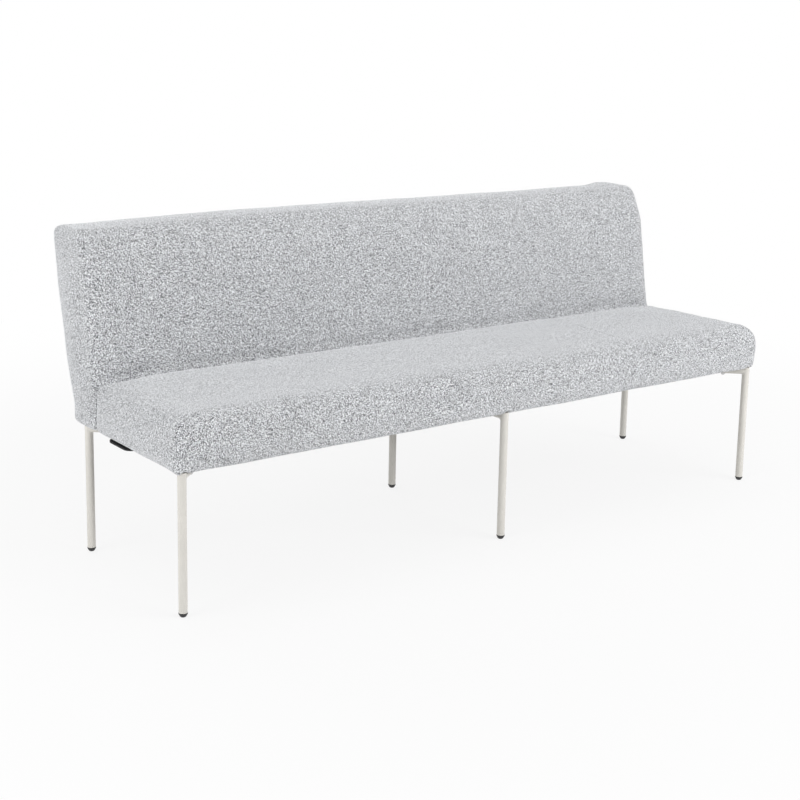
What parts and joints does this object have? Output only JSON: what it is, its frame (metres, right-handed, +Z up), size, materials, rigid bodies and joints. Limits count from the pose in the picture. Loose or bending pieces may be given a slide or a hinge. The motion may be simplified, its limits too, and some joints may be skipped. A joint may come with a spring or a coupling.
{
  "type": "dining sofa",
  "caption": "Long dining sofa with a flat upholstered seat, a leaning padded back on the same base, slim tube legs and a swing-out plate that links it to the next sofa in a row.",
  "frame": {"origin": "on the floor, below the middle of the sofa's length and depth", "axes": "+X along the sofa to the right as seen from its front, +Y from the front to the back, +Z up"},
  "size_m": [2, 0.7152, 0.8684],
  "materials": {
    "cover_fabric": "light grey melange boucle weave, matt",
    "frame_steel": "warm light grey powder coat, satin",
    "glide_plastic": "black, matt",
    "link_steel": "black powder coat, satin",
    "zinc_steel": "bright zinc plate",
    "frame_wood": "planed beech and birch plywood, bare",
    "hardboard": "hardboard, bare",
    "foam": "open-cell upholstery foam",
    "webbing": "elastic webbing",
    "bottom_cloth": "thin black non-woven cloth"
  },
  "bodies": {
    "sofa": {"leg_front_left": "frame_steel", "leg_front_middle": "frame_steel", "leg_front_right": "frame_steel", "leg_rear_left": "frame_steel", "leg_rear_middle": "frame_steel", "leg_rear_right": "frame_steel", "arm_front_left": "frame_steel", "arm_front_right": "frame_steel", "arm_rear_left": "frame_steel", "arm_rear_right": "frame_steel", "middle_bar": "frame_steel", "arm_end_plugs": "glide_plastic", "glide_front_left": "glide_plastic", "glide_front_middle": "glide_plastic", "glide_front_right": "glide_plastic", "glide_rear_left": "glide_plastic", "glide_rear_middle": "glide_plastic", "glide_rear_right": "glide_plastic", "leg_screws": "zinc_steel", "saddle_washers": "zinc_steel", "leg_inserts": "zinc_steel", "seat_front_rail": "frame_wood", "seat_rear_rail": "frame_wood", "seat_end_rail_left": "frame_wood", "seat_end_rail_right": "frame_wood", "seat_cross_rail_left": "frame_wood", "seat_cross_rail_middle": "frame_wood", "seat_cross_rail_right": "frame_wood", "corner_plate_front_left": "frame_wood", "corner_plate_front_right": "frame_wood", "corner_plate_rear_left": "frame_wood", "corner_plate_rear_right": "frame_wood", "seat_webbing": "webbing", "seat_foam": "foam", "seat_cover": "cover_fabric", "seat_bottom_cloth": "bottom_cloth", "back_bottom_rail": "frame_wood", "back_front_rail": "frame_wood", "back_top_rail": "frame_wood", "back_board_left_end": "frame_wood", "back_board_left": "frame_wood", "back_board_middle": "frame_wood", "back_board_right": "frame_wood", "back_board_right_end": "frame_wood", "back_front_panel": "hardboard", "back_rear_panel": "hardboard", "back_foam": "foam", "back_cover": "cover_fabric", "back_bottom_cloth": "bottom_cloth", "joint_bolts": "zinc_steel", "joint_inserts": "zinc_steel", "link_pivot_screw": "link_steel", "link_bush": "link_steel", "link_inserts": "zinc_steel", "link_stud": "link_steel"},
    "link": {"link_plate": "link_steel"}
  },
  "joints": [
    {"name": "link_pivot", "type": "hinge", "parent": "sofa", "child": "link", "pos_m": [-0.971, -0.06312, 0.35136], "axis": [0, 0.0201, 0.9998], "range_deg": [0, 90]}
  ]
}
